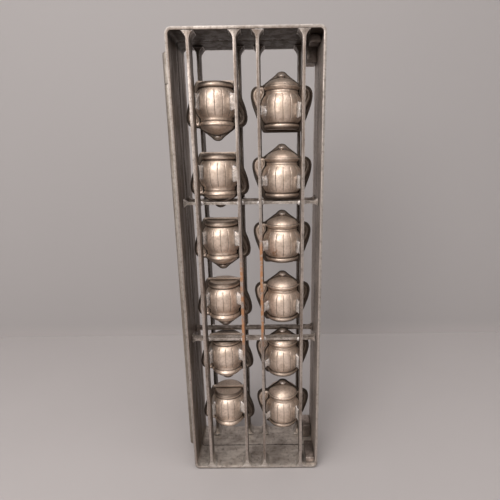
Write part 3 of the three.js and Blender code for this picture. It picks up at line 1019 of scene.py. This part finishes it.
# %% Tinned shell finish
def new_finish(name, roughness, metallic):
    finish = bpy.data.materials.new(name)
    finish.use_nodes = True
    shader = finish.node_tree.nodes["Principled BSDF"]
    shader.inputs["Roughness"].default_value = roughness
    shader.inputs["Metallic"].default_value = metallic
    return finish, finish.node_tree, shader.inputs


def set_bump(tree, shader, height, strength, distance):
    inputs = {"Strength": strength, "Distance": distance * MM, "Height": height}
    put(tree, shader["Normal"], add(tree, "ShaderNodeBump", inputs)["Normal"])


TIN_LIGHT, TIN_DULL, TIN_SPECK = (0.90, 0.742, 0.624), (0.75, 0.60, 0.485), (0.46, 0.34, 0.25)
CLEAN_TIN_AND_GLINT, TIN_RUST = (0.94, 0.89, 0.86), (0.42, 0.2, 0.09)
CORNER_DIRT_AND_SHADE, FLUTE_DIRT_AND_SHADE, FLANGE_DIRT_AND_SHADE = (0.05, 0.034, 0.024), (0.07, 0.048, 0.034), (0.028, 0.019, 0.013)
CAVITY_LIGHT, CAVITY_DULL = (0.64, 0.60, 0.565), (0.47, 0.43, 0.395)


def tinned_finish(name, rust=None):
    finish, tree, shader = new_finish(name, 0.5, 0.75)
    fine, broad = patchy(tree, 420.0, 0.42, 0.66), patchy(tree, 90.0, 0.4, 0.66)
    corners = place_group(tree, corner_dirt_and_shade, Reach=0.004, Low=0.14, High=0.56)
    groove_dirt_and_shade, rim, solder_tin_and_glint, inside = [mark_of(tree, mark) for mark in ("groove_dirt_and_shade", "flange", "solder_tin_and_glint", "inside")]
    colour = lay(tree, mix_colour(tree, broad, TIN_LIGHT, TIN_DULL), TIN_SPECK, fine, 0.4)
    # Pale clean tin near the solder, and a painted highlight on the knob.
    bare_tin_and_glint = times(tree, solder_tin_and_glint, calc(tree, "SUBTRACT", 1.0, times(tree, fine, 0.6)))
    colour = mix_colour(tree, bare_tin_and_glint, colour, CLEAN_TIN_AND_GLINT)
    if rust is not None:
        stain = times(tree, between(tree, "X", *rust[:3]), between(tree, "Z", *rust[3:]))
        colour = lay(tree, colour, TIN_RUST, times(tree, stain, patchy(tree, 330.0, 0.36, 0.56)), 0.8)
    # Painted shade and dirt in corners and creases, less where the solder tin is clean.
    colour = lay(tree, colour, CORNER_DIRT_AND_SHADE, corners, calc(tree, "SUBTRACT", 0.88, solder_tin_and_glint))
    # Dirt and painted shade in the grooves, the creases at the rings and under the foot.
    colour = lay(tree, colour, FLUTE_DIRT_AND_SHADE, groove_dirt_and_shade, 0.82)
    # Dirt and painted shade on the flange and ears, with painted light and shade on the ear beads.
    colour = lay(tree, colour, FLANGE_DIRT_AND_SHADE, rim, 0.96)
    colour = lay(tree, colour, mix_colour(tree, fine, CAVITY_LIGHT, CAVITY_DULL), inside, 0.9)
    put(tree, shader["Base Color"], colour)
    dull = calc(tree, "MAXIMUM", times(tree, fine, 0.4), corners)
    put(tree, shader["Roughness"], spread_out(tree, dull, 0.0, 1.0, 0.48, 0.64))
    dirt_and_shade = calc(tree, "MAXIMUM", rim, groove_dirt_and_shade)
    put(tree, shader["Coat Weight"], spread_out(tree, dirt_and_shade, 0.2, 0.9, 0.3, 0.0))
    shader["Coat Roughness"].default_value = 0.24
    set_bump(tree, shader, fine, 0.2, 0.1)
    return finish


old_tin = tinned_finish("old_tin")
rusty_belly = tinned_finish("old_tin_rusty_belly", (26, 33, 2.5, 246, 254, 2.5))
rusty_rim = tinned_finish("old_tin_rusty_rim", (-46, -8, 3, 219, 226, 1.5))
print("finish:", old_tin.name, rusty_belly.name, rusty_rim.name)

# %% [markdown]
# ## Steel strips
# Frame and bars are mild steel strip, gone grey-brown with age. Painted shade darkens them in the corners
# and deep in the mould near the parting plane, over the underside of the top plate and most on the rear
# bars, while the right plate of the frame is painted lighter, as lit. The front cross bars take a lit copy
# of the finish and the rear ones a shaded copy. The edges are rubbed bright and the faces carry long
# streaks. The bottom plate and the feet of the bars are scoured pale, and the outer walls of the frame are
# plain cloudy steel. Two of the front bars have bled orange rust along their middle, where water stood.

# %% Parts of the strip finish
DARK_SHADE_AND_DIRT, STEEL_SPECK, BLOTCH = (0.075, 0.058, 0.046), (0.10, 0.078, 0.06), (0.125, 0.098, 0.078)
OUTER_LIGHT, OUTER_DULL, PARTING_DIRT = (0.47, 0.435, 0.405), (0.37, 0.338, 0.31), (0.03, 0.023, 0.018)
SCOURED_LIGHT, SCOURED_DULL, FLOOR_STAIN = (0.78, 0.72, 0.655), (0.54, 0.48, 0.425), (0.24, 0.2, 0.175)
BAR_RUST = (0.40, 0.185, 0.08)


def frame_walls(tree, colour, bright, inner_wall):
    """Paint the right plate lighter, as lit, and keep the colour for the wall that faces the pots."""
    lit_right_plate = spread_out(tree, place_of(tree)["X"], 0.055, 0.07, 0.0, 0.7)
    colour = mix_colour(tree, lit_right_plate, colour, bright)
    outer_wall = mix_colour(tree, patchy(tree, 38.0, 0.3, 0.72, Rough=0.6), OUTER_LIGHT, OUTER_DULL)
    return mix_colour(tree, inner_wall, outer_wall, colour)


def deep_shade_on(tree, inside, inner_wall):
    """Painted shade near the parting plane, deep in the mould. On a frame it covers the shaded top plate and spares
    the lit right one.
    """
    outer, inner, amount = inside
    deep_shade = times(tree, deep_inside(tree, outer, inner), amount)
    if inner_wall is None:
        return deep_shade
    deep_shade = times(tree, deep_shade, spread_out(tree, place_of(tree)["X"], 0.02, 0.06, 1.0, 0.1))
    shaded_top_plate = times(tree, between(tree, "Z", 446, 470, 4), deep_inside(tree, 32.5, 31))
    return times(tree, calc(tree, "MAXIMUM", deep_shade, shaded_top_plate), inner_wall)


def scoured_steel(tree):
    scraped = patchy(tree, 240.0, 0.35, 0.75, Stretch=(0.25, 1.0, 1.0))
    steel = mix_colour(tree, scraped, SCOURED_LIGHT, SCOURED_DULL)
    return lay(tree, steel, FLOOR_STAIN, patchy(tree, 45.0, 0.44, 0.66), 0.5)


print("oil, scoured steel and frame walls ready")

# %% Steel strip finish
def strip_finish(name, tones, stretch, inside=None, rust=None, scoured=None, plates=False):
    light, dark, bright = tones
    finish, tree, shader = new_finish(name, 0.5, 0.85)
    streaks = patchy(tree, 160.0, 0.4, 0.62, Stretch=stretch, Rough=0.65)
    specks = patchy(tree, 700.0, 0.5, 0.7)
    corners = place_group(tree, corner_dirt_and_shade, Reach=0.012, Low=0.25, High=0.8)
    rubbed = times(tree, place_group(tree, worn_edges, Width=0.0009), patchy(tree, 260.0, 0.34, 0.52))
    inner_wall = mark_of(tree, "inner") if plates else None
    colour = mix_colour(tree, streaks, light, dark)
    if plates:
        colour = frame_walls(tree, colour, bright, inner_wall)
    colour = lay(tree, colour, STEEL_SPECK, specks, 0.45)
    # Painted shade and dirt in the corners.
    colour = lay(tree, colour, DARK_SHADE_AND_DIRT, corners, 0.75)
    if inside is not None:
        # Painted shade deep in the mould, near the parting plane.
        colour = mix_colour(tree, deep_shade_on(tree, inside, inner_wall), colour, DARK_SHADE_AND_DIRT)
    if scoured is not None:
        paler_share = times(tree, between(tree, "Z", *scoured, 2), 0.85)
        paler_share = times(tree, paler_share, inner_wall) if plates else paler_share
        colour = mix_colour(tree, paler_share, colour, scoured_steel(tree))
    if plates:
        colour = lay(tree, colour, PARTING_DIRT, deep_inside(tree, 0.9, 0.4), 0.85)
    colour = lay(tree, colour, bright, rubbed, 0.85)
    colour = lay(tree, colour, BLOTCH, patchy(tree, 240.0, 0.46, 0.74, Rough=0.7), 0.62)
    if rust is not None:
        stain = times(tree, between(tree, "Z", *rust, 16), patchy(tree, 190.0, 0.36, 0.56))
        colour = lay(tree, colour, BAR_RUST, stain, 0.95)
        put(tree, shader["Metallic"], spread_out(tree, stain, 0.0, 1.0, 0.85, 0.15))
    put(tree, shader["Base Color"], colour)
    put(tree, shader["Roughness"], spread_out(tree, streaks, 0.0, 1.0, 0.42, 0.6))
    set_bump(tree, shader, specks, 0.3, 0.15)
    return finish


print("strip finish ready")

# %% Steels of this mould
ALONG_BARS, ALL_WAYS = (1.0, 1.0, 0.12), (1.0, 1.0, 1.0)
FRAME_TONES = (0.49, 0.41, 0.355), (0.30, 0.24, 0.20), (0.66, 0.585, 0.535)
BAR_TONES = (0.54, 0.47, 0.42), (0.27, 0.215, 0.18), (0.80, 0.74, 0.70)
LIT_CROSS_TONES = (0.74, 0.67, 0.605), (0.46, 0.395, 0.34), (0.86, 0.81, 0.76)
SHADED_TONES = (0.38, 0.325, 0.28), (0.2, 0.165, 0.14), (0.56, 0.50, 0.45)
HINGE_TONES = (0.42, 0.375, 0.33), (0.28, 0.24, 0.2), (0.64, 0.59, 0.525)
LUG_TONES = (0.62, 0.53, 0.48), (0.4, 0.335, 0.295), (0.78, 0.70, 0.645)
# Reach of the painted shade deep in the mould: outer and inner distance from the parting plane in mm, and how dark.
FRAME_INSIDE_SHADE, LUG_INSIDE_SHADE = (32, 24, 0.45), (20, 16, 0.6)
BAR_INSIDE_SHADE, REAR_INSIDE_SHADE = (32.6, 22, 0.8), (33.2, 29, 0.92)
BOTTOM_PLATE, FEET = (-5, 6), (-5, 12)
LEFT_RUST, RIGHT_RUST = (150, 244), (158, 268)
old_strip = strip_finish("old_strip_steel", FRAME_TONES, ALONG_BARS, FRAME_INSIDE_SHADE, scoured=BOTTOM_PLATE, plates=True)
bar_steel = strip_finish("old_bar_steel", BAR_TONES, ALONG_BARS, BAR_INSIDE_SHADE, scoured=FEET)
rusty_left = strip_finish("rusty_bar_left", BAR_TONES, ALONG_BARS, BAR_INSIDE_SHADE, LEFT_RUST, FEET)
rusty_right = strip_finish("rusty_bar_right", BAR_TONES, ALONG_BARS, BAR_INSIDE_SHADE, RIGHT_RUST, FEET)
# The rear bars take the darkest painted shade deep in the mould.
rear_steel = strip_finish("rear_bar_steel", BAR_TONES, ALONG_BARS, REAR_INSIDE_SHADE, scoured=FEET)
# The front cross bars take a painted lit copy of the strip finish, and the rear ones a painted shaded copy.
lit_cross_finish = strip_finish("lit_cross_steel", LIT_CROSS_TONES, ALL_WAYS)
shaded_cross = strip_finish("dark_cross_steel", SHADED_TONES, ALL_WAYS)
hinge_steel = strip_finish("hinge_steel", HINGE_TONES, ALONG_BARS)
lug_steel = strip_finish("lug_steel", LUG_TONES, ALL_WAYS, LUG_INSIDE_SHADE)
print("finishes:", [finish.name for finish in bpy.data.materials if "steel" in finish.name or "bar" in finish.name])

# %% [markdown]
# ## Solder
# Solder and braze stay paler and brighter than the steel, because they are mostly tin. They are smooth
# where they flowed and dull and pitted where they were scraped.

# %% Solder finish
SOLDER_LIGHT, SOLDER_DULL, SOLDER_DIRT_AND_SHADE = (0.88, 0.85, 0.83), (0.64, 0.595, 0.55), (0.16, 0.135, 0.105)


def solder_finish():
    finish, tree, shader = new_finish("grey_solder", 0.34, 0.5)
    fine = patchy(tree, 360.0, 0.42, 0.62)
    corners = place_group(tree, corner_dirt_and_shade, Reach=0.003, Low=0.2, High=0.7)
    colour = mix_colour(tree, fine, SOLDER_LIGHT, SOLDER_DULL)
    # Painted shade and dirt in the creases of the solder.
    colour = lay(tree, colour, SOLDER_DIRT_AND_SHADE, corners, 0.6)
    put(tree, shader["Base Color"], colour)
    put(tree, shader["Roughness"], spread_out(tree, fine, 0.0, 1.0, 0.26, 0.44))
    set_bump(tree, shader, fine, 0.35, 0.2)
    return finish


grey_solder = solder_finish()
print("finish:", grey_solder.name)

# %% [markdown]
# ## Put the pieces on their bodies
# The mould has two bodies. Everything on the rear half stays, with the long knuckle and the pin, and
# everything on the front half swings with the two short knuckles. Each piece gets its finish and takes the
# place of its plain solid.

# %% Bodies and finishes
def settle(piece, half, slot, finish, *nodes):
    piece.data.materials.clear()
    piece.data.materials.append(finish)
    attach(piece, f"{half}_half")
    if nodes:
        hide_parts(*nodes)


def half_of(node):
    short_knuckles = "hinge_knuckle_top", "hinge_knuckle_bottom"
    return "front" if node.startswith("front") or node in short_knuckles else "rear"


RUSTY = {"front_long_bar_2": rusty_left, "front_long_bar_3": rusty_right,
         "front_shell_right_3": rusty_belly, "front_shell_left_4": rusty_rim}
for node, piece in shells.items():
    settle(piece, half_of(node), "tinned_shell", RUSTY.get(node, old_tin), node)
for node, piece in bars.items():
    plain, crossing = (bar_steel, lit_cross_finish) if node.startswith("front") else (rear_steel, shaded_cross)
    plain = crossing if "cross" in node else plain
    settle(piece, half_of(node), "bar_steel", RUSTY.get(node, plain), node)
for half, piece in frames.items():
    settle(piece, half, "frame_steel", old_strip, f"{half}_frame")
for node, piece in lugs.items():
    settle(piece, half_of(node), "lug_steel", lug_steel, node)
for node, piece in {**knuckles, "hinge_pin": pin}.items():
    settle(piece, half_of(node), "hinge_steel", hinge_steel, node)
for half in ("front", "rear"):
    settle(solders[half], half, "tinned_shell", grey_solder)
    settle(brazes[half], half, "bar_steel", grey_solder)
print("pieces settled")

# %% [markdown]
# ## Floor, backdrop and light
# The photograph shows the mould on a plain grey floor in front of a grey wall. One sheet makes both: a
# plane whose back edge is pulled up. It is see-through from behind, so the mould can be looked at from
# there too. Of five soft lamps, the strongest stands behind the camera, a little to the left and above,
# because the white glints sit high on the bellies and left of centre. The sky is pale above and dim low.

# %% Floor and backdrop
WALL_Y, WALL_HEIGHT = 0.30, 1.6
FLOOR_DEPTH, FLOOR_WIDTH, FLOOR_DROP = 2.6, 5, 0.0005
FLOOR_LIGHT, FLOOR_DULL, WALL_GREY = (0.43, 0.405, 0.40), (0.405, 0.38, 0.376), (0.38, 0.36, 0.357)
fresh_start()
bpy.ops.mesh.primitive_plane_add(size=1)
room = bpy.context.object
room.name = "floor_and_wall"
edit(room)
bpy.ops.transform.resize(value=(FLOOR_WIDTH, FLOOR_DEPTH, 1))
bpy.ops.transform.translate(value=(0, WALL_Y - FLOOR_DEPTH / 2, -FLOOR_DROP))
pick(lambda place, part: place.y > WALL_Y - MM, "EDGE")
pull((0, 0, WALL_HEIGHT))
face_towards(Vector((0, -1, 1)))
fresh_start()
grey_room, tree, shader = new_finish("grey_room", 0.8, 0.0)
floor_grey = mix_colour(tree, patchy(tree, 2.0, 0.2, 0.8), FLOOR_LIGHT, FLOOR_DULL)
upright = spread_out(tree, place_of(tree)["Z"], 0.0, 0.03)
put(tree, shader["Base Color"], mix_colour(tree, upright, floor_grey, WALL_GREY))
behind = add(tree, "ShaderNodeNewGeometry")["Backfacing"]
painted, clear = tree.nodes["Principled BSDF"].outputs[0], add(tree, "ShaderNodeBsdfTransparent")[0]
sheet = add(tree, "ShaderNodeMixShader", {0: behind, 1: painted, 2: clear})[0]
put(tree, tree.nodes["Material Output"].inputs["Surface"], sheet)
room.data.materials.append(grey_room)
print("room made")

# %% Lamps and sky
MIDDLE = Vector((0.0, 0.0, 0.23))
SKY_LOW, SKY_HIGH = (0.10, 0.096, 0.093), (0.64, 0.61, 0.60)
LAMPS = {
    "key_lamp": ((-0.42, -0.92, 0.84), (0.56, 0.66), 6.5, (1, 0.965, 0.94)),
    "front_lamp": ((-0.2, -0.75, 1.35), (1.6, 0.5), 3.6, (1, 0.965, 0.945)),
    "top_lamp": ((-0.05, -0.3, 1.4), (0.9, 0.6), 3.6, (1, 0.96, 0.945)),
    "left_lamp": ((-0.9, -0.5, 0.42), (0.8, 0.7), 2.2, (1, 0.96, 0.94)),
    "right_lamp": ((0.9, -0.5, 0.42), (0.8, 0.7), 2.5, (1, 0.96, 0.94)),
}
for name, (place, size, power, colour) in LAMPS.items():
    data = bpy.data.lights.new(name, type="AREA")
    data.shape = "RECTANGLE"
    data.size, data.size_y = size
    data.energy, data.color = power, colour
    lamp = bpy.data.objects.new(name, data)
    scene.collection.objects.link(lamp)
    lamp.location = place
    lamp.rotation_euler = (MIDDLE - Vector(place)).to_track_quat("-Z", "Y").to_euler()
sky = bpy.data.worlds.new("soft_sky")
sky.use_nodes = True
tree = sky.node_tree
direction = add(tree, "ShaderNodeSeparateXYZ", {0: add(tree, "ShaderNodeTexCoord")["Generated"]})
height = spread_out(tree, direction["Z"], 0.05, 0.7)
glow = mix_colour(tree, height, SKY_LOW, SKY_HIGH)
put(tree, tree.nodes["Background"].inputs["Color"], glow)
scene.world = sky
print("lamps:", [lamp.name for lamp in bpy.data.lights])
